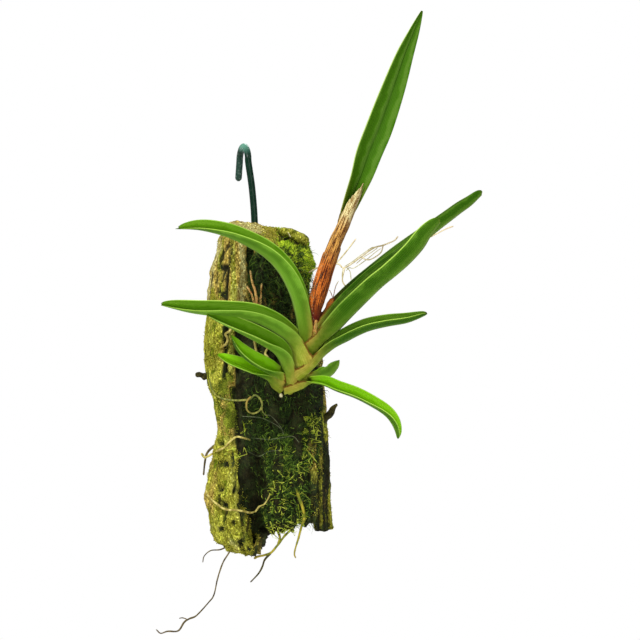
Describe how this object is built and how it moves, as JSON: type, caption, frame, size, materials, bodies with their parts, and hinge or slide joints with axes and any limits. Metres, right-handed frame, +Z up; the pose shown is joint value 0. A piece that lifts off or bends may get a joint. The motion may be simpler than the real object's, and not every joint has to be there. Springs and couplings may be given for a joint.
{
  "type": "mounted orchid on a bark slab",
  "caption": "Small orchid grown on a mossy bark slab: a fan of folded leaves, a tall leaf in a brown papery sheath, thin roots and a wire hook to hang it by.",
  "frame": {"origin": "inside of the hook's crown, where it sits on what it hangs from", "axes": "+Z up, along the slab; +Y out of the slab's flat back; +X to the right of a viewer who faces the plant"},
  "size_m": [0.1307, 0.0751, 0.2486],
  "materials": {
    "bark": "rough, cracked, with moss",
    "wire_coating": "worn semi-gloss coating",
    "leaf": "satin, waxy",
    "tall_leaf": "satin, leathery",
    "leaf_base": "satin, pale, with brown dry margins",
    "papery_sheath": "dry, papery, finely ribbed",
    "pale_root": "matt, velvety",
    "green_root": "matt, velvety",
    "brown_root": "matt, dry",
    "rootlet": "matt, dry"
  },
  "bodies": {
    "root": {"wire_hook": "wire_coating", "bark_slab": "bark", "leaf_base_stem": "leaf_base", "papery_shoot_sheath": "papery_sheath", "tall_leaf": "tall_leaf", "leaf_left_1": "leaf", "leaf_left_2": "leaf", "leaf_left_3": "leaf", "leaf_left_4": "leaf", "leaf_left_5": "leaf", "leaf_right_1": "leaf", "leaf_right_2": "leaf", "leaf_right_3": "leaf", "leaf_right_4": "leaf", "leaf_right_5": "leaf", "root_looped": "green_root", "root_pale_left": "pale_root", "root_pale_nose": "pale_root", "root_dark_left": "brown_root", "root_hanging_right": "green_root", "root_hanging_middle": "green_root", "root_hanging_long": "brown_root", "root_hanging_short": "brown_root", "root_upper_spray": "pale_root", "root_fingers": "rootlet", "root_curled_left": "pale_root", "root_behind_leaves": "pale_root"}
  },
  "joints": []
}
